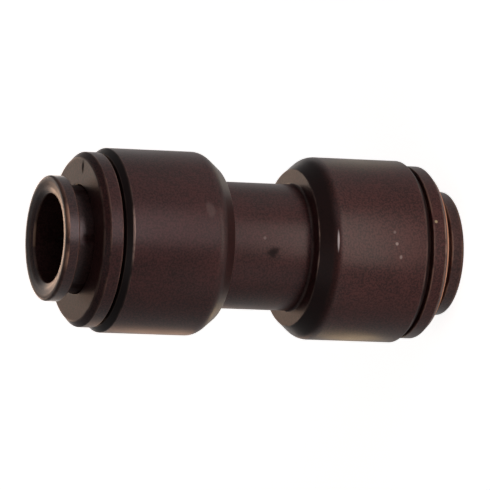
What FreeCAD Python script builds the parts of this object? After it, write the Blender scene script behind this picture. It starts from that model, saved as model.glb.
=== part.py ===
import FreeCAD, Part
import math
import os

# Push-in straight connector for two lengths of plastic tube, standing on one end.
# Every piece is drawn in a half-plane: radius from the tube axis, and height out from the body's middle.
# Millimetres and degrees throughout.

# The tube that the connector joins
TUBE_DIAMETER = 12.0
SOCKET_CLEARANCE = 0.05  # radial, tube to the body's socket
GUIDE_CLEARANCE = 0.1  # radial, tube to the collet's bore and to the spacer ring
SEAL_BITE = 0.1  # radial, how far the free seal stands inside the tube's surface
TOOTH_BITE = 0.1  # radial, the same for the tips of the teeth

# Body, one moulding with a slim neck between two heads
BODY_LENGTH = 44.6
HEAD_DIAMETER = 25.3
NECK_DIAMETER = 17.5
NECK_LENGTH = 12.3
SHOULDER_CHAMFER = 1.8  # radial
SHOULDER_CHAMFER_LENGTH = 2.2
RIM_CHAMFER = 0.8
STOP_LENGTH = 2.0  # the land inside that both tubes butt against
WATERWAY_DIAMETER = 9.4
SOCKET_LEAD_IN = 0.4

# O-ring and the spacer ring that keeps it in its seat
SEAL_SECTION = 2.6
SEAL_FLATS = 8  # the round section is drawn with this many flats
SEAL_SEAT_CLEARANCE = 0.03
SEAL_SIDE_CLEARANCE = 0.3
SPACER_THICKNESS = 1.4
SPACER_FIT = 0.03

# End cap, a ring with a skirt that lines the head down to the spacer ring
CAP_DIAMETER = 24.0
CAP_BAND = 2.6  # length of the cap that shows
CAP_GROOVE = 0.45  # shadow gap between the cap's band and the head's rim
CAP_CHAMFER = 0.8
SKIRT_WALL = 1.1
SKIRT_FIT = 0.02
SKIRT_END_CLEARANCE = 0.05
THROAT_LENGTH = 4.45  # straight guide for the collet's sleeve

# Release collet: flange, sleeve and slotted fingers with cone-backed heads
COLLET_WALL = 1.25
COLLET_TRAVEL = 2.4
FLANGE_DIAMETER = 17.2
FLANGE_THICKNESS = 1.9
FLANGE_EDGE = 0.3
FLANGE_STOP_GAP = 0.05  # left between flange and cap when fully pressed in
MOUTH_DISH = 1.75  # radial width of the sunk face round the collet's bore
MOUTH_DISH_DEPTH = 0.5
SLEEVE_CLEARANCE = 0.1  # radial, sleeve to the cap's throat and head to its cone
HEAD_RISE = 1.65  # how far a finger's head stands out of the sleeve
HEAD_CONE_LENGTH = 3.0
HEAD_LAND = 1.5
CHAMBER_CLEARANCE = 0.5  # radial, heads to the skirt that they spread inside
FINGER_END_CLEARANCE = 0.6  # fingers to the spacer ring when fully pressed in
FINGER_COUNT = 6
SLOT_WIDTH = 1.3
SLOT_LENGTH = 6.2
LOWER_PRESSED_IN = 0.85  # the lower collet sits this far inside its outer limit

# Grip teeth, one stainless blade moulded into each finger
TOOTH_THICKNESS = 0.4
TOOTH_ANGLE = 22.0
TOOTH_LEAN = 25.0
TOOTH_SETBACK = 0.9  # tip to the finger's end
TOOTH_COVER = 0.8  # plastic left outside the tooth's root
TOOTH_EDGE = 0.35  # length of the sharpened edge

# Radii that the sizes above give
tube_radius = TUBE_DIAMETER / 2
socket_radius = tube_radius + SOCKET_CLEARANCE
guide_radius = tube_radius + GUIDE_CLEARANCE
seal_inner_radius = tube_radius - SEAL_BITE
seal_seat_radius = seal_inner_radius + SEAL_SECTION + SEAL_SEAT_CLEARANCE
sleeve_radius = guide_radius + COLLET_WALL
throat_radius = sleeve_radius + SLEEVE_CLEARANCE
finger_head_radius = sleeve_radius + HEAD_RISE
chamber_radius = finger_head_radius + CHAMBER_CLEARANCE
skirt_radius = chamber_radius + SKIRT_WALL
skirt_seat_radius = skirt_radius + SKIRT_FIT

# Heights out from the body's middle, worked inward from the rim
rim_height = BODY_LENGTH / 2
band_height = rim_height + CAP_GROOVE
cap_height = band_height + CAP_BAND
throat_height = cap_height - THROAT_LENGTH
cone_height = throat_height - (chamber_radius - throat_radius) * HEAD_CONE_LENGTH / HEAD_RISE
finger_end_height = throat_height - HEAD_CONE_LENGTH - HEAD_LAND
spacer_height = finger_end_height - COLLET_TRAVEL - FINGER_END_CLEARANCE
spacer_seat_height = spacer_height - SPACER_THICKNESS
seal_height = spacer_seat_height - SEAL_SIDE_CLEARANCE - SEAL_SECTION / 2
seal_seat_height = seal_height - SEAL_SECTION / 2 - SEAL_SIDE_CLEARANCE
flange_height = cap_height + FLANGE_STOP_GAP + COLLET_TRAVEL
mouth_height = flange_height + FLANGE_THICKNESS

# The lower collet's flange stands on the ground
middle_height = mouth_height - LOWER_PRESSED_IN

# End of the connector: how far its pieces are turned over, and how far its collet is pressed in
ENDS = {"upper": (0.0, 0.0), "lower": (180.0, LOWER_PRESSED_IN)}

ORIGIN = FreeCAD.Vector(0, 0, 0)
AXIS = FreeCAD.Vector(0, 0, 1)
SIDEWAYS = FreeCAD.Vector(1, 0, 0)


def turned(corners, angle=360.0):
    """Solid turned about the tube axis from an outline of (radius, height) corners."""
    points = [FreeCAD.Vector(radius, 0, height) for radius, height in corners]
    outline = Part.makePolygon(points + points[:1])
    return Part.Face(outline).revolve(ORIGIN, AXIS, angle)


def placed(shape, end, slides=False):
    """Copy of a piece in its place at one end; a piece that slides is moved with its collet."""
    turn, pressed_in = ENDS[end]
    piece = shape.copy()
    if slides:
        piece.translate(AXIS * -pressed_in)
    piece.rotate(ORIGIN, SIDEWAYS, turn)
    piece.translate(AXIS * middle_height)
    return piece


def make_body():
    """Two heads on a neck, bored for the tubes, the seals, the spacers and the caps' skirts."""
    head_radius = HEAD_DIAMETER / 2
    neck_radius = NECK_DIAMETER / 2
    neck_end = NECK_LENGTH / 2
    outside = [
        (neck_radius, neck_end),
        (head_radius - SHOULDER_CHAMFER, neck_end),
        (head_radius, neck_end + SHOULDER_CHAMFER_LENGTH),
        (head_radius, rim_height - RIM_CHAMFER),
        (head_radius - RIM_CHAMFER, rim_height),
    ]
    inside = [
        (skirt_seat_radius, rim_height),
        (skirt_seat_radius, spacer_seat_height),
        (seal_seat_radius, spacer_seat_height),
        (seal_seat_radius, seal_seat_height),
        (socket_radius + SOCKET_LEAD_IN, seal_seat_height),
        (socket_radius, seal_seat_height - SOCKET_LEAD_IN),
        (socket_radius, STOP_LENGTH / 2),
        (WATERWAY_DIAMETER / 2, STOP_LENGTH / 2),
    ]
    upper_half = outside + inside
    lower_half = [(radius, -height) for radius, height in reversed(upper_half)]
    return placed(turned(upper_half + lower_half), "upper")


def make_seal():
    """O-ring: a round section, drawn with flats that lie along its seat, turned about the tube axis."""
    half_pitch = math.pi / SEAL_FLATS
    corner_radius = SEAL_SECTION / 2 / math.cos(half_pitch)
    centre_radius = seal_inner_radius + SEAL_SECTION / 2
    corners = []
    for index in range(SEAL_FLATS):
        angle = (2 * index + 1) * half_pitch
        radius = centre_radius - corner_radius * math.cos(angle)
        corners.append((radius, seal_height + corner_radius * math.sin(angle)))
    return turned(corners)


def make_spacer():
    """Flat ring between the seal and the collet's fingers, held down by the cap's skirt."""
    outer_radius = skirt_seat_radius - SPACER_FIT
    corners = [
        (guide_radius, spacer_seat_height),
        (outer_radius, spacer_seat_height),
        (outer_radius, spacer_height),
        (guide_radius, spacer_height),
    ]
    return turned(corners)


def make_cap():
    """Chamfered band with a skirt; its throat opens inward as a cone into the fingers' chamber."""
    band_radius = CAP_DIAMETER / 2
    skirt_end = spacer_height + SKIRT_END_CLEARANCE
    corners = [
        (chamber_radius, skirt_end),
        (skirt_radius, skirt_end),
        (skirt_radius, band_height),
        (band_radius, band_height),
        (band_radius, cap_height - CAP_CHAMFER),
        (band_radius - CAP_CHAMFER, cap_height),
        (throat_radius, cap_height),
        (throat_radius, throat_height),
        (chamber_radius, cone_height),
    ]
    return turned(corners)


def make_tooth():
    """Conical blade, part of one finger's share of a turn, leaning inward to its sharpened edge."""
    lean = math.radians(TOOTH_LEAN)
    tip_radius = tube_radius - TOOTH_BITE
    tip_height = finger_end_height + TOOTH_SETBACK
    length = (finger_head_radius - TOOTH_COVER - tip_radius) / math.cos(lean)

    def point(run, thickness):
        radius = tip_radius + run * math.cos(lean) - thickness * math.sin(lean)
        return radius, tip_height + run * math.sin(lean) + thickness * math.cos(lean)

    corners = [
        point(0.0, 0.0),
        point(length, 0.0),
        point(length, TOOTH_THICKNESS),
        point(TOOTH_EDGE, TOOTH_THICKNESS),
    ]
    blade = turned(corners, TOOTH_ANGLE)
    blade.rotate(ORIGIN, AXIS, -TOOTH_ANGLE / 2)
    return blade


def make_slot():
    """Cutter for one slot between fingers, with a round closed end."""
    start_height = finger_end_height - SLOT_WIDTH
    end_height = finger_end_height + SLOT_LENGTH - SLOT_WIDTH / 2
    corner = FreeCAD.Vector(0, -SLOT_WIDTH / 2, start_height)
    straight = Part.makeBox(chamber_radius, SLOT_WIDTH, end_height - start_height, corner)
    round_end = Part.makeCylinder(SLOT_WIDTH / 2, chamber_radius, AXIS * end_height, SIDEWAYS)
    return straight.fuse(round_end)


def spread(shape, offset=0.0):
    """Copies of a shape at every finger, turned on by an offset in finger pitches."""
    pitch = 360.0 / FINGER_COUNT
    copies = []
    for index in range(FINGER_COUNT):
        copy = shape.copy()
        copy.rotate(ORIGIN, AXIS, (index + offset) * pitch)
        copies.append(copy)
    return copies


def make_collet(teeth):
    """Flanged sleeve, slotted into fingers, with a pocket for the root of each tooth."""
    flange_radius = FLANGE_DIAMETER / 2
    corners = [
        (guide_radius, finger_end_height),
        (finger_head_radius, finger_end_height),
        (finger_head_radius, finger_end_height + HEAD_LAND),
        (sleeve_radius, throat_height),
        (sleeve_radius, flange_height),
        (flange_radius, flange_height),
        (flange_radius, mouth_height - FLANGE_EDGE),
        (flange_radius - FLANGE_EDGE, mouth_height),
        (guide_radius + MOUTH_DISH, mouth_height),
        (guide_radius, mouth_height - MOUTH_DISH_DEPTH),
    ]
    slots = spread(make_slot(), 0.5)
    return turned(corners).cut(Part.makeCompound(slots + teeth))


def save(name, shape):
    """Write one piece as parts/NAME.step."""
    shape.exportStep(os.path.join("parts", name + ".step"))
    print(f"{name}: {len(shape.Solids)} solid, {shape.Volume:.1f} cubic mm, valid {shape.isValid()}")


def main():
    """Build every piece and write it out."""
    os.makedirs("parts", exist_ok=True)
    seal = make_seal()
    spacer = make_spacer()
    cap = make_cap()
    teeth = spread(make_tooth())
    collet = make_collet(teeth)
    save("body", make_body())
    for end in ENDS:
        save(end + "_o_ring", placed(seal, end))
        save(end + "_spacer_ring", placed(spacer, end))
        save(end + "_end_cap", placed(cap, end))
        save(end + "_collet", placed(collet, end, slides=True))
        for number, tooth in enumerate(teeth, start=1):
            save(f"{end}_grip_tooth_{number}", placed(tooth, end, slides=True))


main()
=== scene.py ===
import logging
import math
from dataclasses import dataclass, replace
from enum import Enum

import bpy
import numpy as np
from mathutils import Matrix, Vector


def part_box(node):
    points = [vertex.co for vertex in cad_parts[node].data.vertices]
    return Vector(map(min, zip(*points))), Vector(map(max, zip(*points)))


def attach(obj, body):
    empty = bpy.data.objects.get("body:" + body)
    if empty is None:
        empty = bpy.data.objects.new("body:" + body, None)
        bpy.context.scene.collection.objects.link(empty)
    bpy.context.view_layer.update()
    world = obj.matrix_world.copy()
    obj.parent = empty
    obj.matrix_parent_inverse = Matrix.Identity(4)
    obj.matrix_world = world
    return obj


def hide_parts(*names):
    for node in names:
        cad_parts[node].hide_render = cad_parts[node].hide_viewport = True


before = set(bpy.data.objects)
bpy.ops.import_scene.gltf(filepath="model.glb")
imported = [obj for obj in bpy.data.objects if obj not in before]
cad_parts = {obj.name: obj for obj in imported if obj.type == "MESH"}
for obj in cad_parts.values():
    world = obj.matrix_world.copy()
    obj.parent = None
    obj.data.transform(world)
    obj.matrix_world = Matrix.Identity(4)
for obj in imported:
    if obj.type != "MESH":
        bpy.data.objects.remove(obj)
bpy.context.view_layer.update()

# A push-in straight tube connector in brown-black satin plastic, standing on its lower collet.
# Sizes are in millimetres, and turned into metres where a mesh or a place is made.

log = logging.getLogger("connector")

Socket = bpy.types.NodeSocket
Triple = tuple[float, float, float]

MM = 0.001
# The picture's width and height in pixels.
PHOTO_SIDE = 490
# Steps round the axis of a turned piece, and steps in the arc of a rounded corner.
COLUMNS = 192
ARC_STEPS = 5
# Longest way from an arc to the support point beside it.
SUPPORT = 0.12
# Heights that differ by less than this are one height.
TOUCH = 1e-6
# Socket numbers of a Mix node: its share and two colours, and what it gives.
MIX_INPUTS, MIX_OUTPUT = (0, 6, 7), 2


class End(Enum):
    """The two ends of the connector, with the sign of their direction along the tube axis."""

    UPPER = 1
    LOWER = -1

    @property
    def prefix(self) -> str:
        """Start of the names of this end's nodes."""
        return self.name.lower() + "_"


class WearAndHighlight(Enum):
    """How pale the edges of a piece are drawn, as rubbed edges and painted edge highlights."""

    FRESH = 0.06
    HANDLED = 0.14


# Outlines and turned surfaces


@dataclass(frozen=True)
class Corner:
    """A corner of a turned outline.

    Its wear says how pale the corner is drawn, as rubbed edge and painted edge highlight together;
    its painted shade says how far the face that follows it is darkened.
    """

    radius: float
    height: float
    rounding: float = 0.1
    wear: float = 1.0
    fresh: float = 0.0


def unit(vectors: np.ndarray) -> np.ndarray:
    """Each row scaled to length one."""
    return vectors / np.linalg.norm(vectors, axis=-1, keepdims=True)


def rounded_outline(corners: list[Corner]) -> tuple[np.ndarray, np.ndarray]:
    """Work out a closed outline with a tangent arc at every corner.

    An arc starts rounding / tan(half the corner's angle) back along each side. Its points are the
    centre plus the rounding times a unit vector that swings evenly from one tangent point to the
    other. A support point beside each arc keeps the flat stretches flat in the shading.

    Args:
        corners: the corners in order round the outline.

    Returns:
        The points as (radius, height) rows, and as many rows of traits: the wear, which is rubbed edge
        and painted edge highlight and is the corner's on its arc and else nought, and the painted shade,
        which an arc blends across.
    """
    places = np.array([(c.radius, c.height) for c in corners])
    rounding = np.array([c.rounding for c in corners])[:, None]
    back = unit(np.roll(places, 1, axis=0) - places)
    ahead = unit(np.roll(places, -1, axis=0) - places)
    half = np.arccos(np.clip((back * ahead).sum(1), -1, 1))[:, None] / 2
    trim = rounding / np.tan(half)
    centre = places + unit(back + ahead) * rounding / np.sin(half)
    first = (places + back * trim - centre) / rounding
    last = (places + ahead * trim - centre) / rounding
    sweep = (np.pi - 2 * half)[:, None, :]
    share = np.linspace(0, 1, ARC_STEPS + 1)[None, :, None]
    swing = np.sin((1 - share) * sweep) * first[:, None] + np.sin(share * sweep) * last[:, None]
    arcs = centre[:, None] + rounding[:, None] * swing / np.sin(sweep)
    free = np.linalg.norm(np.roll(arcs[:, 0], -1, axis=0) - arcs[:, -1], axis=1, keepdims=True)
    before = arcs[:, 0] + back * np.minimum(SUPPORT, np.roll(free, 1, axis=0) / 3)
    after = arcs[:, -1] + ahead * np.minimum(SUPPORT, free / 3)
    points = np.concatenate([before[:, None], arcs, after[:, None]], axis=1)
    wear = np.repeat([[c.wear] for c in corners], points.shape[1], axis=1)
    wear[:, [0, -1]] = 0
    fresh = np.array([[c.fresh] for c in corners])
    earlier = np.roll(fresh, 1, axis=0)
    fresh = np.concatenate([earlier, earlier + (fresh - earlier) * share[..., 0], fresh], axis=1)
    points = points.reshape(-1, 2)
    traits = np.stack([wear.reshape(-1), fresh.reshape(-1)], axis=1)
    following = np.roll(points, -1, axis=0)
    area = (points[:, 0] * following[:, 1] - following[:, 0] * points[:, 1]).sum()
    return (points, traits) if area > 0 else (points[::-1], traits[::-1])


def turned_points(outline: np.ndarray, angles: np.ndarray) -> np.ndarray:
    """Carry an outline round the tube axis: (r cos a, r sin a, height) for every point and angle.

    Args:
        outline: (radius, height) rows in millimetres.
        angles: one angle for each column, in radians.

    Returns:
        An array of rows by columns by 3, in metres.
    """
    radius, height = outline[:, :1], outline[:, 1:]
    grid = (radius * np.cos(angles), radius * np.sin(angles), height + 0 * angles)
    return np.stack(grid, axis=-1) * MM


def ring_faces(rows: int, columns: int) -> np.ndarray:
    """Quads that join each grid point to the next row and column, closed both ways.

    Args:
        rows: points round the outline.
        columns: steps round the axis.

    Returns:
        An array of rows by columns by 4 indices, turned so that the faces point outwards.
    """
    index = np.arange(rows * columns).reshape(rows, columns)
    right = np.roll(index, -1, axis=1)
    return np.stack([index, right, np.roll(right, -1, axis=0), np.roll(index, -1, axis=0)], axis=-1)


def mesh_object(
    name: str, points: np.ndarray, faces: list[list[int]], traits: np.ndarray
) -> bpy.types.Object:
    """Make a smooth-shaded object from arrays, with its traits as attributes.

    Args:
        name: the object's name.
        points: vertex places in metres.
        faces: lists of vertex indices.
        traits: the wear (rubbed edge and painted edge highlight) and the painted shade of each vertex, from
            0 to 1.

    Returns:
        The linked object.
    """
    mesh = bpy.data.meshes.new(name)
    mesh.from_pydata(points.tolist(), [], faces)
    mesh.shade_smooth()
    for attribute_name, values in zip(("edge_wear_and_highlight", "fresh"), traits.T):
        attribute = mesh.attributes.new(attribute_name, "FLOAT", "POINT")
        attribute.data.foreach_set("value", values.astype(np.float32))
    piece = bpy.data.objects.new(name, mesh)
    bpy.context.scene.collection.objects.link(piece)
    return piece


def turned_object(name: str, outline: np.ndarray, traits: np.ndarray) -> bpy.types.Object:
    """Make a whole ring from an outline, with evenly spaced columns round the tube axis.

    Args:
        name: the object's name.
        outline: (radius, height) rows in millimetres.
        traits: the wear (rubbed edge and painted edge highlight) and the painted shade of each row.

    Returns:
        The turned object.
    """
    angles = np.arange(COLUMNS) * 2 * np.pi / COLUMNS
    points = turned_points(outline, angles).reshape(-1, 3)
    faces = ring_faces(len(outline), COLUMNS).reshape(-1, 4).tolist()
    return mesh_object(name, points, faces, np.repeat(traits, COLUMNS, axis=0))


# Node groups, each built once and placed in the materials with its own values


class Graph:
    """A short way to write a node tree: add nodes, set their sockets and link them."""

    def __init__(self, tree: bpy.types.NodeTree) -> None:
        """Keep the tree that the nodes go into."""
        self.tree = tree

    def add(self, kind: str, values: dict | None = None, **settings: object) -> bpy.types.Node:
        """Add a node.

        Args:
            kind: the node's type name.
            values: its inputs, as feed takes them.
            settings: properties of the node.

        Returns:
            The new node.
        """
        node = self.tree.nodes.new(kind)
        for key, value in settings.items():
            setattr(node, key, value)
        self.feed(node, values or {})
        return node

    def feed(self, node: bpy.types.Node, values: dict) -> None:
        """Give a node its inputs.

        Args:
            node: the node.
            values: input name or number, to a value or to the output that feeds it.
        """
        for key, value in values.items():
            if isinstance(value, Socket):
                self.tree.links.new(value, node.inputs[key])
            else:
                node.inputs[key].default_value = value

    def math(self, operation: str, *terms: float | Socket) -> Socket:
        """Do one arithmetic step.

        Args:
            operation: the Math node's operation, with _CLAMP after it to stay between 0 and 1.
            terms: numbers or outputs.

        Returns:
            The result.
        """
        kind = operation.removesuffix("_CLAMP")
        node = self.add("ShaderNodeMath", dict(enumerate(terms)), operation=kind)
        node.use_clamp = kind != operation
        return node.outputs[0]

    def vectors(self, operation: str, first: Socket, second: Triple | Socket) -> Socket:
        """One step on two vectors."""
        return self.add("ShaderNodeVectorMath", {0: first, 1: second}, operation=operation).outputs[0]

    def noise(self, vector: Socket, scale: float | Socket, detail: float) -> bpy.types.NodeOutputs:
        """Add a noise texture and give its outputs."""
        values = {"Vector": vector, "Scale": scale, "Detail": detail}
        return self.add("ShaderNodeTexNoise", values).outputs

    def bump(self, height: Socket, depth: float) -> Socket:
        """Normal of a relief whose depth is in millimetres."""
        return self.add("ShaderNodeBump", {"Height": height, "Distance": depth * MM}).outputs[0]

    def ramp(self, value: Socket, low: float, high: float) -> Socket:
        """Smooth step from 0 at low to 1 at high, whichever of the two is the larger."""
        values = {"Value": value, "From Min": low, "From Max": high}
        return self.add("ShaderNodeMapRange", values, interpolation_type="SMOOTHSTEP").outputs[0]

    def between(self, value: Socket, low: float, high: float) -> Socket:
        """Low where the value is 0, high where it is 1, and evenly between."""
        return self.add("ShaderNodeMapRange", {"Value": value, "To Min": low, "To Max": high}).outputs[0]

    def mixed(self, share: float | Socket, first: Triple | Socket, second: Triple | Socket) -> Socket:
        """Mix two colours.

        Args:
            share: the second colour's share, from 0 to 1.
            first: a colour or an output.
            second: the other one.

        Returns:
            The mixed colour.
        """
        colours = [(*c, 1.0) if isinstance(c, tuple) else c for c in (first, second)]
        values = dict(zip(MIX_INPUTS, (share, *colours)))
        return self.add("ShaderNodeMix", values, data_type="RGBA").outputs[MIX_OUTPUT]


def new_group(
    name: str, inputs: dict[str, str], outputs: dict[str, str]
) -> tuple[Graph, bpy.types.NodeOutputs, bpy.types.Node]:
    """Start a shader node group.

    Args:
        name: the group's name.
        inputs: socket name to socket type.
        outputs: the same for its results.

    Returns:
        Its graph, what it is given, and the node that takes its results.
    """
    tree = bpy.data.node_groups.new(name, "ShaderNodeTree")
    for in_out, sockets in (("INPUT", inputs), ("OUTPUT", outputs)):
        for socket, kind in sockets.items():
            tree.interface.new_socket(socket, in_out=in_out, socket_type="NodeSocket" + kind)
    graph = Graph(tree)
    return graph, graph.add("NodeGroupInput").outputs, graph.add("NodeGroupOutput")


def grain_group() -> bpy.types.NodeTree:
    """Moulded grain: fine pits on gentle waves, with a mottle that follows them.

    Returns:
        The group; its height is the pits' noise plus the waves' noise times one and a half.
    """
    wave_share = 1.5
    graph, given, result = new_group(
        "moulded_grain",
        {"Vector": "Vector", "Pits": "Float", "Waves": "Float"},
        {"Height": "Float", "Mottle": "Float", "Drift": "Float"},
    )
    fine = graph.noise(given["Vector"], given["Pits"], detail=3.0)["Fac"]
    wide = graph.noise(given["Vector"], given["Waves"], detail=2.0)["Fac"]
    height = graph.math("MULTIPLY_ADD", wide, wave_share, fine)
    graph.feed(result, {"Height": height, "Mottle": fine, "Drift": wide})
    return graph.tree


def rub_and_highlight_group() -> bpy.types.NodeTree:
    """Pale edges, rubbed ones and painted highlights: the wear attribute, broken up by noise.

    Returns:
        The group; its mask is the edge's wear times a patchy noise times the amount.
    """
    patch_scale = 420.0
    graph, given, result = new_group(
        "rubbed_edges_and_highlights",
        {"Vector": "Vector", "Edge": "Float", "Amount": "Float"},
        {"Mask": "Float"},
    )
    patches = graph.noise(given["Vector"], patch_scale, detail=4.0)["Fac"]
    broken = graph.math("MULTIPLY", given["Edge"], graph.ramp(patches, low=0.3, high=0.62))
    graph.feed(result, {"Mask": graph.math("MULTIPLY_CLAMP", broken, given["Amount"])})
    return graph.tree


def dust_group() -> bpy.types.NodeTree:
    """Dust: a few small pale specks, one in some of the cells of a cellular pattern.

    Returns:
        The group; its mask is 1 near the middle of each chosen cell.
    """
    graph, given, result = new_group(
        "dust_specks",
        {"Vector": "Vector", "Cells": "Float", "Speck Size": "Float", "Share": "Float"},
        {"Mask": "Float"},
    )
    values = {"Vector": given["Vector"], "Scale": given["Cells"]}
    cells = graph.add("ShaderNodeTexVoronoi", values).outputs
    near = graph.math("LESS_THAN", cells["Distance"], given["Speck Size"])
    draw = graph.add("ShaderNodeSeparateColor", {"Color": cells["Color"]}).outputs[0]
    chosen = graph.math("LESS_THAN", draw, given["Share"])
    graph.feed(result, {"Mask": graph.math("MULTIPLY", near, chosen)})
    return graph.tree


def mark_group() -> bpy.types.NodeTree:
    """A mark at one place: 1 at its middle and 0 beyond its size, with an outline bent by noise.

    Returns:
        The group; its mask falls with the length of (point + bend - place) / stretch.
    """
    sway_scale = 900.0
    graph, given, result = new_group(
        "placed_mark",
        {"Vector": "Vector", "Place": "Vector", "Stretch": "Vector", "Bend": "Float"},
        {"Mask": "Float"},
    )
    sway = graph.noise(given["Vector"], sway_scale, detail=2.0)["Color"]
    centred = graph.vectors("SUBTRACT", sway, (0.5, 0.5, 0.5))
    bend = {0: centred, "Scale": given["Bend"]}
    bent = graph.add("ShaderNodeVectorMath", bend, operation="SCALE").outputs[0]
    moved = graph.vectors("ADD", given["Vector"], bent)
    offset = graph.vectors("SUBTRACT", moved, given["Place"])
    stretched = graph.vectors("DIVIDE", offset, given["Stretch"])
    reach = graph.add("ShaderNodeVectorMath", {0: stretched}, operation="LENGTH").outputs["Value"]
    graph.feed(result, {"Mask": graph.ramp(reach, low=1.0, high=0.4)})
    return graph.tree


@dataclass(frozen=True)
class Effects:
    """The shared node groups."""

    grain: bpy.types.NodeTree
    # Pale edges: rubbed wear and painted highlights.
    rub: bpy.types.NodeTree
    dust: bpy.types.NodeTree
    mark: bpy.types.NodeTree


def build_effects() -> Effects:
    """Build each shared group once."""
    return Effects(grain_group(), rub_and_highlight_group(), dust_group(), mark_group())


# Finishes


class Skin(Graph):
    """A piece's material under way: its graph, its shader and the place on the piece."""

    def __init__(self, name: str, effects: Effects) -> None:
        """Start the material.

        Args:
            name: the material's name.
            effects: the shared node groups.
        """
        self.material, self.shader = new_material(name)
        super().__init__(self.material.node_tree)
        self.effects = effects
        self.vector = self.add("ShaderNodeTexCoord").outputs["Object"]

    def effect(self, group: bpy.types.NodeTree, values: dict) -> bpy.types.NodeOutputs:
        """Place a shared group on the piece and give its outputs."""
        return self.add("ShaderNodeGroup", {"Vector": self.vector, **values}, node_tree=group).outputs

    def trait(self, name: str) -> Socket:
        """One of the traits that a turned surface carries."""
        return self.add("ShaderNodeAttribute", attribute_name=name).outputs["Fac"]

    def finished(self, values: dict) -> bpy.types.Material:
        """Feed the shader and give the material."""
        self.feed(self.shader, values)
        return self.material


@dataclass(frozen=True)
class Mark:
    """A place that is lighter or darker than the plastic round it, with an outline bent by bend."""

    place: Triple
    size: Triple
    strength: float
    colour: Triple = (0.36, 0.31, 0.29)
    bend: float = 0.0

    def mask(self, skin: Skin) -> Socket:
        """Work out the mark's share of the surface, which is its strength at its middle.

        Args:
            skin: the piece's material.

        Returns:
            The share.
        """
        values = {"Place": times(self.place, MM), "Stretch": times(self.size, MM)}
        values["Bend"] = self.bend * MM
        return skin.math("MULTIPLY", skin.effect(skin.effects.mark, values)["Mask"], self.strength)


@dataclass(frozen=True)
class SatinPlastic:
    """Injection-moulded plastic with a satin skin.

    Its colour is clouded between two shares of itself, mottle, and goes down to painted_shade_share of
    itself where the surface carries painted shade. Roughness drifts by roughness_drift round its value;
    the pale edges, rubbed and painted highlight alike, take some off it and marks add some. Specks are
    dust.
    """

    name: str
    colour: Triple
    pale: Triple = (0.42, 0.30, 0.25)
    roughness: float = 0.35
    roughness_drift: tuple[float, float] = (-0.06, 0.08)
    rub_polish: float = -0.08
    mark_matting: float = 0.5
    specular: float = 0.25
    ior: float = 1.48
    grain_depth: float = 0.006
    pit_scale: float = 3900.0
    wave_scale: float = 160.0
    mottle: tuple[float, float] = (0.4, 1.75)
    painted_shade_share: float = 0.25
    wear: WearAndHighlight = WearAndHighlight.HANDLED
    speck_cells: float = 230.0
    speck_size: float = 0.034
    speck_share: float = 0.05
    speck_strength: float = 0.55
    speck_colour: Triple = (0.42, 0.38, 0.34)
    marks: tuple[Mark, ...] = ()
    painted_highlights: tuple[Mark, ...] = ()

    def build(self, effects: Effects) -> bpy.types.Material:
        """Build the material.

        Args:
            effects: the shared node groups.

        Returns:
            The material.
        """
        skin = Skin(self.name, effects)
        grain = skin.effect(effects.grain, {"Pits": self.pit_scale, "Waves": self.wave_scale})
        # Painted shade: the shaded faces go down to this dark share of the colour.
        moulded = times(self.colour, self.painted_shade_share)
        colour = skin.mixed(skin.trait("fresh"), self.clouded(skin, grain), moulded)
        marked = 0.0
        for mark in self.marks:
            mask = mark.mask(skin)
            colour = skin.mixed(mask, colour, mark.colour)
            marked = skin.math("MAXIMUM", mask, marked)
        # Pale edges: rubbed wear everywhere, and painted highlights in the listed places.
        rub = self.rubbing_and_highlights(skin)
        colour = skin.mixed(rub, colour, self.pale)
        dust = {"Cells": self.speck_cells, "Speck Size": self.speck_size, "Share": self.speck_share}
        specks = skin.math("MULTIPLY", skin.effect(effects.dust, dust)["Mask"], self.speck_strength)
        low, high = (self.roughness + drift for drift in self.roughness_drift)
        rough = skin.between(grain["Drift"], low, high)
        polished = skin.math("MULTIPLY_ADD", rub, self.rub_polish, rough)
        values = {
            "Base Color": skin.mixed(specks, colour, self.speck_colour),
            "Roughness": skin.math("MULTIPLY_ADD_CLAMP", marked, self.mark_matting, polished),
            "Normal": skin.bump(grain["Height"], self.grain_depth),
            "Specular IOR Level": self.specular,
            "IOR": self.ior,
        }
        return skin.finished(values)

    def rubbing_and_highlights(self, skin: Skin) -> Socket:
        """Work out how far the edges go to the pale colour, as rubbed edges and painted edge highlights,
        more in the painted highlight places.

        Args:
            skin: the piece's material.

        Returns:
            The mask.
        """
        amount = self.wear.value
        for place in self.painted_highlights:
            amount = skin.math("ADD", amount, place.mask(skin))
        return skin.effect(skin.effects.rub, {"Edge": skin.trait("edge_wear_and_highlight"), "Amount": amount})["Mask"]

    def clouded(self, skin: Skin, grain: bpy.types.NodeOutputs) -> Socket:
        """Cloud the base colour a little, as moulding and handling do.

        Args:
            skin: the piece's material.
            grain: the outputs of its grain.

        Returns:
            The colour.
        """
        fine_share, wide_share = 0.7, 0.3
        dark, light = (times(self.colour, share) for share in self.mottle)
        fine = skin.math("MULTIPLY", skin.ramp(grain["Mottle"], low=0.37, high=0.63), fine_share)
        wide = skin.ramp(grain["Drift"], low=0.25, high=0.75)
        return skin.mixed(skin.math("MULTIPLY_ADD", wide, wide_share, fine), dark, light)


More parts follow.
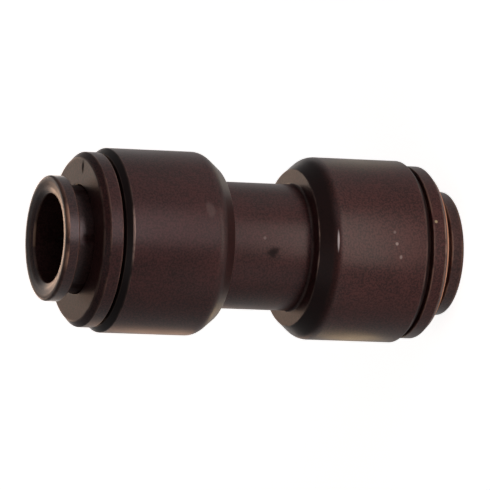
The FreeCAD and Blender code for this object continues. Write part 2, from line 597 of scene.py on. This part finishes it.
@dataclass(frozen=True)
class SealRubber:
    """Matt black nitrile rubber."""

    name: str = "seal_rubber"
    colour: Triple = (0.012, 0.012, 0.013)
    light_share: float = 1.8
    roughness: tuple[float, float] = (0.5, 0.7)
    grain_depth: float = 0.004
    pit_scale: float = 5200.0
    wave_scale: float = 500.0

    def build(self, effects: Effects) -> bpy.types.Material:
        """Build the material.

        Args:
            effects: the shared node groups.

        Returns:
            The material.
        """
        skin = Skin(self.name, effects)
        grain = skin.effect(effects.grain, {"Pits": self.pit_scale, "Waves": self.wave_scale})
        light = times(self.colour, self.light_share)
        values = {
            "Base Color": skin.mixed(skin.ramp(grain["Drift"], low=0.3, high=0.7), self.colour, light),
            "Roughness": skin.between(grain["Mottle"], *self.roughness),
            "Normal": skin.bump(grain["Height"], self.grain_depth),
        }
        return skin.finished(values)


@dataclass(frozen=True)
class ToothSteel:
    """Rolled stainless strip with fine rolling lines."""

    name: str = "tooth_steel"
    colour: Triple = (0.56, 0.55, 0.53)
    dark_share: float = 0.7
    roughness: tuple[float, float] = (0.22, 0.42)
    line_depth: float = 0.003
    line_scale: float = 900.0
    line_squeeze: float = 14.0

    def build(self, effects: Effects) -> bpy.types.Material:
        """Build the material; the lines are noise squeezed along the tube axis.

        Args:
            effects: the shared node groups.

        Returns:
            The material.
        """
        skin = Skin(self.name, effects)
        squeeze = {"Vector": skin.vector, "Scale": (1.0, 1.0, self.line_squeeze)}
        squeezed = skin.add("ShaderNodeMapping", squeeze).outputs[0]
        lines = skin.noise(squeezed, self.line_scale, detail=3.0)["Fac"]
        values = {
            "Base Color": skin.mixed(lines, times(self.colour, self.dark_share), self.colour),
            "Roughness": skin.between(lines, *self.roughness),
            "Normal": skin.bump(lines, self.line_depth),
            "Metallic": 1.0,
        }
        return skin.finished(values)


def new_material(name: str) -> tuple[bpy.types.Material, bpy.types.Node]:
    """Start a material that has only its Principled shader and output.

    Args:
        name: the material's name.

    Returns:
        The material and its shader.
    """
    material = bpy.data.materials.new(name)
    material.use_nodes = True
    return material, material.node_tree.nodes["Principled BSDF"]


def times(triple: Triple, factor: float) -> Triple:
    """A colour or a place times a factor."""
    return tuple(value * factor for value in triple)


# The pieces


@dataclass
class Layout:
    """Places that the pieces share, read from the CAD nodes' boxes."""

    middle: float
    rim: float
    head_radius: float
    cap_radius: float
    cap_face: float
    spacer_face: float
    spacer_seat: float

    @classmethod
    def from_frame(cls) -> "Layout":
        """Measure the nodes, in millimetres, with heights out from the body's middle.

        Returns:
            The shared places.
        """
        body_low, body_high = (np.array(corner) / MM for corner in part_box("body"))
        cap_high = np.array(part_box("upper_end_cap")[1]) / MM
        spacer_low, spacer_high = (np.array(corner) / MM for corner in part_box("upper_spacer_ring"))
        middle = (body_low[2] + body_high[2]) / 2
        heights = (cap_high[2] - middle, spacer_high[2] - middle, spacer_low[2] - middle)
        return cls(middle, body_high[2] - middle, body_high[0], cap_high[0], *heights)


@dataclass
class Piece:
    """A modelled piece that stands for one CAD node."""

    layout: Layout
    node: str
    body: str
    slot: str
    end: End = End.UPPER

    def build(self, material: bpy.types.Material) -> None:
        """Model the piece, dress it, hang it on its body and let it stand for its node.

        Args:
            material: its finish.
        """
        piece = self.shape()
        piece.data.materials.append(material)
        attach(piece, self.body)
        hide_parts(self.node)
        log.info("%s: %d faces, on %s", piece.name, len(piece.data.polygons), self.body)

    def shape(self) -> bpy.types.Object:
        """Model the piece without a finish."""
        raise NotImplementedError

    def turned(self, name: str, corners: list[Corner]) -> bpy.types.Object:
        """Turn a section that is drawn out from the body's middle, at the piece's end.

        Args:
            name: the new object's name.
            corners: the section's corners.

        Returns:
            The turned object.
        """
        middle, sign = self.layout.middle, self.end.value
        placed = [replace(corner, height=middle + sign * corner.height) for corner in corners]
        return turned_object(name, *rounded_outline(placed))


@dataclass
class BodyMoulding(Piece):
    """The one-piece body: a neck between two heads, bored from both ends."""

    neck_radius: float = 8.75
    neck_end: float = 6.15
    shoulder: float = 1.8
    shoulder_length: float = 2.2
    rim_chamfer: float = 0.8
    skirt_seat: float = 10.62
    seal_seat: float = 8.53
    seal_floor: float = 8.8
    socket_radius: float = 6.05
    lead_in: float = 0.4
    stop_half: float = 1.0
    waterway: float = 4.7
    # Painted shade on the upper and the lower head's shoulder.
    painted_shade_shoulders: tuple[float, float] = (0.6, 0.9)

    def shape(self) -> bpy.types.Object:
        """Turn the body from its section.

        Returns:
            The moulding.
        """
        upper, lower = (self.half_section(fresh) for fresh in self.painted_shade_shoulders)
        # Taken backwards, the face after a corner is the one that stood before it.
        faces = [corner.fresh for corner in reversed(lower[:-1])] + [0.0]
        lower = [
            replace(corner, height=-corner.height, fresh=face)
            for corner, face in zip(reversed(lower), faces)
        ]
        return self.turned("body_moulding", upper + lower)

    def half_section(self, painted_shade_shoulder: float) -> list[Corner]:
        """One head's section, from the neck out to the rim and back down the bore.

        Args:
            painted_shade_shoulder: how far its shoulder is darkened with painted shade.

        Returns:
            The corners.
        """
        head, rim, seat = self.layout.head_radius, self.layout.rim, self.layout.spacer_seat
        return [
            Corner(self.neck_radius, self.neck_end, rounding=0.25),
            Corner(head - self.shoulder, self.neck_end, rounding=0.16, fresh=painted_shade_shoulder),
            Corner(head, self.neck_end + self.shoulder_length, rounding=2.2, wear=0.06),
            # The rim chamfer and the rim face after it carry full painted shade.
            Corner(head, rim - self.rim_chamfer, rounding=0.22, fresh=1.0),
            Corner(head - self.rim_chamfer, rim, rounding=0.12, fresh=1.0),
            Corner(self.skirt_seat, rim),
            Corner(self.skirt_seat, seat),
            Corner(self.seal_seat, seat),
            Corner(self.seal_seat, self.seal_floor),
            Corner(self.socket_radius + self.lead_in, self.seal_floor),
            Corner(self.socket_radius, self.seal_floor - self.lead_in),
            Corner(self.socket_radius, self.stop_half, rounding=0.15),
            Corner(self.waterway, self.stop_half, rounding=0.2),
        ]


@dataclass
class EndCapRing(Piece):
    """End cap: a chamfered band, with a skirt inside the head and a throat for the collet."""

    band_start: float = 22.75
    chamfer: float = 0.8
    skirt_radius: float = 10.6
    chamber_radius: float = 9.5
    throat_radius: float = 7.45
    throat_start: float = 20.9
    cone_start: float = 17.1727
    skirt_gap: float = 0.05

    def shape(self) -> bpy.types.Object:
        """Turn the cap from its section.

        Returns:
            The ring.
        """
        band, face = self.layout.cap_radius, self.layout.cap_face
        skirt_end = self.layout.spacer_face + self.skirt_gap
        corners = [
            Corner(self.chamber_radius, skirt_end),
            Corner(self.skirt_radius, skirt_end),
            Corner(self.skirt_radius, self.band_start),
            Corner(band, self.band_start, rounding=0.14),
            Corner(band, face - self.chamfer, rounding=0.22),
            Corner(band - self.chamfer, face, rounding=0.4),
            Corner(self.throat_radius, face, rounding=0.2),
            Corner(self.throat_radius, self.throat_start, rounding=0.3),
            Corner(self.chamber_radius, self.cone_start, rounding=0.3),
        ]
        return self.turned(self.end.prefix + "cap_ring", corners)


@dataclass
class SealRing(Piece):
    """O-ring: a round section turned about the tube axis."""

    inner_radius: float = 5.9
    section: float = 2.6
    height: float = 10.4
    section_points: int = 32

    def shape(self) -> bpy.types.Object:
        """Turn the round section: (centre + r cos b, height + r sin b) for b round the circle.

        Returns:
            The ring.
        """
        around = np.arange(self.section_points) * 2 * np.pi / self.section_points
        radius = self.section / 2
        height = self.layout.middle + self.end.value * self.height
        across = self.inner_radius + radius + radius * np.cos(around)
        outline = np.stack([across, height + radius * np.sin(around)], axis=1)
        return turned_object(self.end.prefix + "seal_ring", outline, np.zeros_like(outline))


@dataclass
class SpacerWasher(Piece):
    """Flat ring between the seal and the collet's fingers."""

    bore: float = 6.1
    outer: float = 10.59

    def shape(self) -> bpy.types.Object:
        """Turn the ring from its section.

        Returns:
            The ring.
        """
        seat, face = self.layout.spacer_seat, self.layout.spacer_face
        corners = [
            Corner(self.bore, seat, rounding=0.2),
            Corner(self.outer, seat),
            Corner(self.outer, face),
            Corner(self.bore, face, rounding=0.2),
        ]
        return self.turned(self.end.prefix + "spacer_washer", corners)


@dataclass
class ReleaseCollet(Piece):
    """Collet: flange, sleeve and slotted fingers whose heads are cones."""

    inward: float = 0.0
    bore: float = 6.1
    sleeve: float = 7.35
    head: float = 9.0
    flange: float = 8.6
    finger_end: float = 16.4
    head_land: float = 1.5
    cone_end: float = 20.9
    flange_back: float = 27.8
    mouth: float = 29.7
    dish: float = 1.75
    dish_depth: float = 0.5
    slot_width: float = 1.3
    slot_length: float = 6.2
    fingers: int = 6
    slot_columns: int = 8
    finger_columns: int = 28

    def shape(self) -> bpy.types.Object:
        """Turn the collet and open its slots.

        The angles of the grid are placed so that two of them lie on the sides of each slot. Quads
        between those two angles and below the slot's end are left out, the rows at its end are
        bent into the half round, and flat sides and a curved end close the gap.

        Returns:
            The collet.
        """
        outline, traits = rounded_outline(self.section())
        base = self.finger_end + self.slot_length - self.slot_width / 2
        outline, traits = with_row(outline, traits, base)
        angles, in_slot = self.columns()
        points = turned_points(outline, angles)
        points[np.isclose(outline[:, 1], base), :, 2] += self.slot_bend(angles, in_slot) * MM
        points = self.stood(points)
        faces = ring_faces(*points.shape[:2])
        if self.end is End.LOWER:
            faces = faces[..., ::-1]
        low = outline[:, 1] <= base + TOUCH
        below = low & np.roll(low, -1)
        kept = faces[~(below[:, None] & in_slot[None, :])].tolist()
        kept += self.slot_walls(outline, base, in_slot)
        used, renumbered = np.unique(np.concatenate(kept), return_inverse=True)
        cuts = np.cumsum([len(face) for face in kept])[:-1]
        flat = [part.tolist() for part in np.split(renumbered, cuts)]
        traits = np.repeat(traits, len(angles), axis=0)[used]
        return mesh_object(self.end.prefix + "release_collet", points.reshape(-1, 3)[used], flat, traits)

    def section(self) -> list[Corner]:
        """The section, drawn out from the body's middle.

        Returns:
            The corners; the last three are the sunk front face, which steepens towards the bore.
        """
        return [
            Corner(self.bore, self.finger_end, rounding=0.2),
            Corner(self.head, self.finger_end, rounding=0.3),
            Corner(self.head, self.finger_end + self.head_land, rounding=0.2),
            Corner(self.sleeve, self.cone_end, rounding=0.3),
            Corner(self.sleeve, self.flange_back, rounding=0.2),
            Corner(self.flange, self.flange_back, rounding=0.16),
            Corner(self.flange, self.mouth, rounding=0.42),
            Corner(self.bore + self.dish, self.mouth, rounding=1.6),
            Corner(self.bore + self.dish / 2, self.mouth - self.dish_depth / 4, rounding=1.6, wear=0.6),
            Corner(self.bore, self.mouth - self.dish_depth, rounding=0.24),
        ]

    def columns(self) -> tuple[np.ndarray, np.ndarray]:
        """Angles of the grid's columns, with one on each side of every slot.

        Returns:
            The angles in radians, and whether each column's quad lies in a slot.
        """
        half = math.asin(self.slot_width / 2 / self.sleeve)
        pitch = 2 * np.pi / self.fingers
        slot = np.linspace(-half, half, self.slot_columns, endpoint=False)
        finger = np.linspace(half, pitch - half, self.finger_columns, endpoint=False)
        one = np.concatenate([slot, finger])
        starts = (np.arange(self.fingers) + 0.5) * pitch
        angles = (starts[:, None] + one[None, :]).reshape(-1)
        flags = np.tile(np.arange(len(one)) < self.slot_columns, self.fingers)
        return angles, flags

    def slot_bend(self, angles: np.ndarray, in_slot: np.ndarray) -> np.ndarray:
        """Rise of a slot's round end over each column: the height of a half circle at that offset.

        Args:
            angles: the columns' angles.
            in_slot: whether each column's quad lies in a slot.

        Returns:
            The rise of each column in millimetres.
        """
        pitch = 2 * np.pi / self.fingers
        offset = (angles / pitch) % 1.0 - 0.5
        across = offset * pitch * self.sleeve
        half = self.slot_width / 2
        return np.sqrt(np.clip(half**2 - across**2, 0, None)) * in_slot

    def stood(self, points: np.ndarray) -> np.ndarray:
        """Move drawn points to their place on the standing connector.

        Args:
            points: drawn places in metres.

        Returns:
            The same points where they stand.
        """
        sign = self.end.value
        placed = points.copy()
        placed[..., 2] = (self.layout.middle - sign * self.inward) * MM + sign * points[..., 2]
        return placed

    def slot_walls(self, outline: np.ndarray, base: float, in_slot: np.ndarray) -> list[list[int]]:
        """Faces that close each slot: a flat side at both its angles, and a strip over its end.

        Args:
            outline: the section with a row at the slot's end on both its walls.
            base: the height where the round end starts.
            in_slot: whether each column's quad lies in a slot.

        Returns:
            Lists of grid indices.
        """
        count = len(in_slot)
        ends = np.flatnonzero(np.isclose(outline[:, 1], base))
        inner, outer = sorted(ends, key=lambda row: outline[row, 0])
        # The outline runs down the bore, across the finger's end and up its outside.
        span = (outer - inner) % len(outline) + 1
        rows = (inner + np.arange(span)) % len(outline)
        starts = np.flatnonzero(in_slot & ~np.roll(in_slot, 1))
        walls = []
        for start in starts:
            near, far = rows * count + start, rows * count + (start + self.slot_columns) % count
            steps = (start + np.arange(self.slot_columns + 1)) % count
            low, high = rows[0] * count + steps, rows[-1] * count + steps
            strip = np.stack([low[:-1], low[1:], high[1:], high[:-1]], axis=1)
            sides = [near[::-1].tolist(), far.tolist()]
            if self.end is End.LOWER:
                strip, sides = strip[:, ::-1], [side[::-1] for side in sides]
            walls += sides + strip.tolist()
        return walls


def with_row(outline: np.ndarray, traits: np.ndarray, height: float) -> tuple[np.ndarray, np.ndarray]:
    """Add a point wherever the outline crosses a height.

    Args:
        outline: (radius, height) rows of a closed outline.
        traits: the rows' wear and painted shade.
        height: the height to add points at.

    Returns:
        The outline and the traits with the new rows in their places.
    """
    after = np.roll(outline, -1, axis=0)
    crossing = np.flatnonzero((outline[:, 1] - height) * (after[:, 1] - height) < 0)
    share = (height - outline[crossing, 1]) / (after[crossing, 1] - outline[crossing, 1])
    added = outline[crossing] + share[:, None] * (after[crossing] - outline[crossing])
    added[:, 1] = height
    outline = np.insert(outline, crossing + 1, added, axis=0)
    return outline, np.insert(traits, crossing + 1, 0.0, axis=0)


# Stage: camera, lights, floor and surroundings


@dataclass(frozen=True)
class PhotoCamera:
    """The photo's view: a long lens above the upper end's side, rolled so that +Z points left.

    Rise and tilt are in degrees. Pixel is the width of a picture's pixel at the connector, and
    middle is the pixel that shows the body's middle.
    """

    rise: float = 21.5
    tilt: float = 2.26
    distance: float = 855.0
    pixel: float = 0.138
    middle: tuple[float, float] = (248.2, 246.0)
    sensor: float = 36.0
    clip: tuple[float, float] = (0.01, 50.0)

    def build(self, target: Vector) -> None:
        """Place the camera.

        Args:
            target: the body's middle.
        """
        rise, tilt = math.radians(self.rise), math.radians(self.tilt)
        forward = Vector((0.0, math.cos(rise), -math.sin(rise)))
        level_up = Vector((1.0, 0.0, 0.0))
        level_right = forward.cross(level_up)
        right = level_right * math.cos(tilt) + level_up * math.sin(tilt)
        up = level_up * math.cos(tilt) - level_right * math.sin(tilt)
        centre = PHOTO_SIDE / 2
        across = (self.middle[0] - centre) * self.pixel * MM
        down = (self.middle[1] - centre) * self.pixel * MM
        place = target - forward * self.distance * MM - right * across + up * down
        data = bpy.data.cameras.new("photo_camera")
        data.sensor_width = self.sensor
        data.lens = self.sensor * self.distance / self.pixel / PHOTO_SIDE
        data.clip_start, data.clip_end = self.clip
        camera = bpy.data.objects.new("photo_camera", data)
        turn = Matrix((right, up, -forward)).transposed().to_4x4()
        camera.matrix_world = Matrix.Translation(place) @ turn
        bpy.context.scene.collection.objects.link(camera)
        bpy.context.scene.camera = camera


@dataclass(frozen=True)
class SoftBox:
    """A rectangular studio light: its place from the body's middle, and the way that it faces."""

    name: str
    place: Triple
    facing: Triple
    width: float
    height: float
    radiance: float
    colour: Triple = (1.0, 1.0, 1.0)

    def build(self, target: Vector) -> None:
        """Place the light; its watts are the radiance times pi times its area.

        Args:
            target: the point that its place is measured from.
        """
        data = bpy.data.lights.new(self.name, "AREA")
        data.shape = "RECTANGLE"
        data.size = self.width * MM
        data.size_y = self.height * MM
        data.energy = self.radiance * math.pi * self.width * self.height * MM**2
        data.color = self.colour
        light = bpy.data.objects.new(self.name, data)
        light.location = target + Vector(self.place) * MM
        light.rotation_euler = Vector(self.facing).to_track_quat("-Z", "Y").to_euler()
        light.visible_camera = False
        bpy.context.scene.collection.objects.link(light)


# Heights and ways that the lights share; a panel lies just above the floor.
PANEL_HEIGHT = -28.5
UPWARDS = (0.0, 0.0, 1.0)
SIDEWAYS = (0.0, 1.0, 0.0)
FROM_RIGHT = (-0.68, 0.68, -0.28)
FROM_BACK_RIGHT, FROM_BACK_LEFT = (-0.18, -0.92, -0.34), (0.2, -0.92, -0.34)
WARM_WHITE = (1.0, 0.93, 0.88)
COOL_WHITE = (0.9, 0.9, 1.0)
WHITE = (1.0, 1.0, 1.0, 1.0)
LIGHTS = (
    SoftBox("front_strip", (13.0, -45.0, -22.7), SIDEWAYS, 50.0, 11.7, 4.8, (1.0, 0.83, 0.74)),
    SoftBox("front_panel", (55.0, -155.0, PANEL_HEIGHT), UPWARDS, 110.0, 90.0, 6.6, (1.0, 0.79, 0.8)),
    SoftBox("front_softbox", (220.0, -220.0, 90.0), FROM_RIGHT, 200.0, 160.0, 0.6, COOL_WHITE),
    SoftBox("fill_strip", (-50.0, -50.0, -20.85), (0.7, 0.7, 0.1), 50.0, 16.0, 0.9, (1.0, 0.8, 0.8)),
    SoftBox("upper_rim_panel", (-70.0, 95.0, PANEL_HEIGHT), UPWARDS, 50.0, 40.0, 1.7, (1.0, 0.52, 0.28)),
    SoftBox("lower_rim_panel", (-32.5, 24.5, PANEL_HEIGHT), UPWARDS, 15.0, 19.0, 2.1, (1.0, 0.68, 0.34)),
    SoftBox("lower_edge_panel", (33.5, 22.5, PANEL_HEIGHT), UPWARDS, 23.0, 25.0, 0.35, (1.0, 0.82, 0.5)),
    SoftBox("side_panel", (95.0, -35.0, PANEL_HEIGHT), UPWARDS, 80.0, 80.0, 0.5, (1.0, 0.84, 0.84)),
    SoftBox("back_strip_panel", (0.0, 85.0, PANEL_HEIGHT), UPWARDS, 36.0, 110.0, 3.0, (1.0, 0.9, 0.82)),
    SoftBox("back_panel", (0.0, 220.0, PANEL_HEIGHT), UPWARDS, 160.0, 150.0, 1.6, (1.0, 0.88, 0.8)),
    SoftBox("back_low_softbox", (0.0, 400.0, 62.0), (0.0, -1.0, -0.1), 240.0, 56.0, 5.3, (1.0, 0.64, 0.44)),
    SoftBox("top_softbox", (-150.0, -250.0, 500.0), (0.25, 0.4, -0.85), 400.0, 400.0, 0.3),
    SoftBox("back_softbox", (76.0, 400.0, 160.0), FROM_BACK_RIGHT, 148.0, 160.0, 0.75, WARM_WHITE),
    SoftBox("back_side_softbox", (-94.0, 400.0, 160.0), FROM_BACK_LEFT, 104.0, 160.0, 0.4, WARM_WHITE),
)


@dataclass(frozen=True)
class Surroundings:
    """White floor and surroundings: full white to the camera, and dimmer in reflections."""

    floor_side: float = 4000.0
    floor_drop: float = 0.02
    floor_grey: float = 0.86
    floor_roughness: float = 0.9
    floor_lift: float = 0.88
    floor_mirror: float = 0.5
    sky_mirror: float = 0.12
    ambient: float = 0.07

    def build(self) -> None:
        """Make the floor and the world."""
        self.build_floor()
        self.build_world()

    def seen(self, graph: Graph, share: float) -> Socket:
        """1 for camera rays, the given share for glossy and transmission rays, and 0 for the rest.

        Args:
            graph: the graph of the material or the world.
            share: how much of the white reflections show.

        Returns:
            The share of its whiteness that a ray sees.
        """
        path = graph.add("ShaderNodeLightPath").outputs
        mirror = graph.math("MAXIMUM", path["Is Glossy Ray"], path["Is Transmission Ray"])
        return graph.math("MAXIMUM", path["Is Camera Ray"], graph.math("MULTIPLY", mirror, share))

    def build_floor(self) -> None:
        """Lay the floor just under the connector, lit by itself only for the rays that see it."""
        reach = self.floor_side / 2
        corners = ((-reach, -reach), (reach, -reach), (reach, reach), (-reach, reach))
        mesh = bpy.data.meshes.new("floor")
        mesh.from_pydata([times((x, y, -self.floor_drop), MM) for x, y in corners], [], [(0, 1, 2, 3)])
        floor = bpy.data.objects.new("floor", mesh)
        bpy.context.scene.collection.objects.link(floor)
        material, shader = new_material("floor_white")
        graph = Graph(material.node_tree)
        whiteness = self.seen(graph, self.floor_mirror)
        values = {
            "Base Color": (*[self.floor_grey] * 3, 1.0),
            "Roughness": self.floor_roughness,
            "Specular IOR Level": 0.0,
            "Emission Color": WHITE,
            "Emission Strength": graph.math("MULTIPLY", whiteness, self.floor_lift),
        }
        graph.feed(shader, values)
        mesh.materials.append(material)

    def build_world(self) -> None:
        """Make the world white to the camera, dim in reflections, and a faint light to the rest."""
        world = bpy.data.worlds.new("white_surroundings")
        world.use_nodes = True
        bpy.context.scene.world = world
        graph = Graph(world.node_tree)
        strength = graph.between(self.seen(graph, self.sky_mirror), self.ambient, 1.0)
        graph.feed(world.node_tree.nodes["Background"], {"Color": WHITE, "Strength": strength})


# Finishes of this connector

BROWN_BLACK = (0.043, 0.0138, 0.0128)
SOOT = (0.010, 0.007, 0.007)
BODY_FINISH = SatinPlastic(
    "body_plastic",
    BROWN_BLACK,
    marks=(
        Mark((4.7, -11.7, 39.1), (1.6, 1.2, 0.9), 0.5, (0.15, 0.11, 0.105), 1.1),
        Mark((-0.8, -8.7, 28.5), (1.1, 0.8, 1.1), 0.85, SOOT, 1.4),
        Mark((1.2, -8.7, 29.85), (0.3, 0.3, 0.3), 0.35),
        Mark((1.1, -12.6, 11.9), (0.3, 0.3, 0.3), 0.65),
        Mark((-0.7, -12.6, 11.25), (0.36, 0.3, 0.28), 0.5),
        Mark((2.7, -12.4, 12.2), (0.28, 0.3, 0.28), 0.3),
        # A painted highlight along the lower head's outer shoulder edge.
        Mark((1.3, -12.5, 20.5), (1.9, 0.7, 0.17), 0.8, (0.62, 0.60, 0.62)),
    ),
    # Painted highlights: the upper head's rim edge and the lower head's inner shoulder corner.
    painted_highlights=(
        Mark((1.4, -12.5, 50.35), (5.0, 1.6, 0.6), 1.3),
        Mark((0.5, -10.8, 22.7), (4.6, 2.0, 0.6), 0.6),
    ),
)
CAP_FINISH = SatinPlastic(
    "cap_plastic",
    BROWN_BLACK,
    pale=(0.62, 0.40, 0.30),
    marks=(
        Mark((9.9, -1.8, 54.2), (1.2, 0.45, 0.4), 1.0, SOOT, 0.9),
        Mark((4.4, -11.2, 5.6), (0.3, 0.3, 0.3), 0.8, (0.45, 0.38, 0.24)),
        # A painted highlight along the lower cap's edge.
        Mark((0.0, -9.0, 3.62), (17.0, 11.0, 0.4), 0.95, (0.86, 0.43, 0.25)),
    ),
    # A painted highlight along the lower cap's edge, drawn in the pale edge colour.
    painted_highlights=(Mark((0.8, -10.6, 3.6), (10.5, 7.0, 0.9), 1.6),),
)
COLLET_FINISH = SatinPlastic(
    "collet_plastic",
    (0.045, 0.0175, 0.016),
    roughness=0.3,
    specular=0.38,
    pale=(0.66, 0.38, 0.25),
    # Painted highlights along the near and the far edge of the mouth, in the pale edge colour.
    painted_highlights=(
        Mark((0.3, -6.2, 58.05), (6.5, 4.0, 0.7), 0.9),
        Mark((0.2, 6.2, 58.05), (2.6, 1.2, 0.6), 0.5),
    ),
)
SPACER_FINISH = SatinPlastic("spacer_plastic", (0.02, 0.02, 0.021), wear=WearAndHighlight.FRESH, speck_share=0.0)
FINISHES = (BODY_FINISH, CAP_FINISH, COLLET_FINISH, SPACER_FINISH, SealRubber(), ToothSteel())


def dress_teeth(material: bpy.types.Material) -> None:
    """Give the CAD grip teeth their steel finish.

    Args:
        material: the steel.
    """
    for name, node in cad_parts.items():
        if "grip_tooth" in name:
            for material_slot in node.material_slots:
                material_slot.material = material
            log.info("%s: dressed", name)


def collet_inward(layout: Layout, end: End) -> float:
    """How far an end's collet sits inside its drawn place, in millimetres."""
    heights = np.array(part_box(end.prefix + "collet"))[:, 2] / MM
    return ReleaseCollet.mouth - abs(heights - layout.middle).max()


def end_pieces(layout: Layout, end: End) -> tuple[Piece, ...]:
    """The pieces of one end, before they are built.

    Args:
        layout: the shared places.
        end: the end that they belong to.

    Returns:
        The cap, the seal, the spacer and the collet.
    """
    prefix, inward = end.prefix, collet_inward(layout, end)
    return (
        EndCapRing(layout, prefix + "end_cap", "housing", "cap_plastic", end),
        SealRing(layout, prefix + "o_ring", "housing", "seal_rubber", end),
        SpacerWasher(layout, prefix + "spacer_ring", "housing", "spacer_plastic", end),
        ReleaseCollet(layout, prefix + "collet", prefix + "release_collet", "collet_plastic", end, inward),
    )


def build_pieces(layout: Layout, effects: Effects) -> None:
    """Build and dress every piece of the connector.

    Args:
        layout: the shared places.
        effects: the shared node groups.
    """
    materials = {finish.name: finish.build(effects) for finish in FINISHES}
    body = BodyMoulding(layout, "body", "housing", "body_plastic")
    for piece in (body, *end_pieces(layout, End.UPPER), *end_pieces(layout, End.LOWER)):
        piece.build(materials[piece.slot])
    dress_teeth(materials["tooth_steel"])


def main() -> None:
    """Build the camera, the stage and the connector."""
    logging.basicConfig(level=logging.INFO, format="%(name)s: %(message)s")
    bpy.context.scene.view_settings.view_transform = "Standard"
    layout = Layout.from_frame()
    target = Vector((0.0, 0.0, layout.middle * MM))
    PhotoCamera().build(target)
    for light in LIGHTS:
        light.build(target)
    Surroundings().build()
    build_pieces(layout, build_effects())


if __name__ == "__main__":
    main()
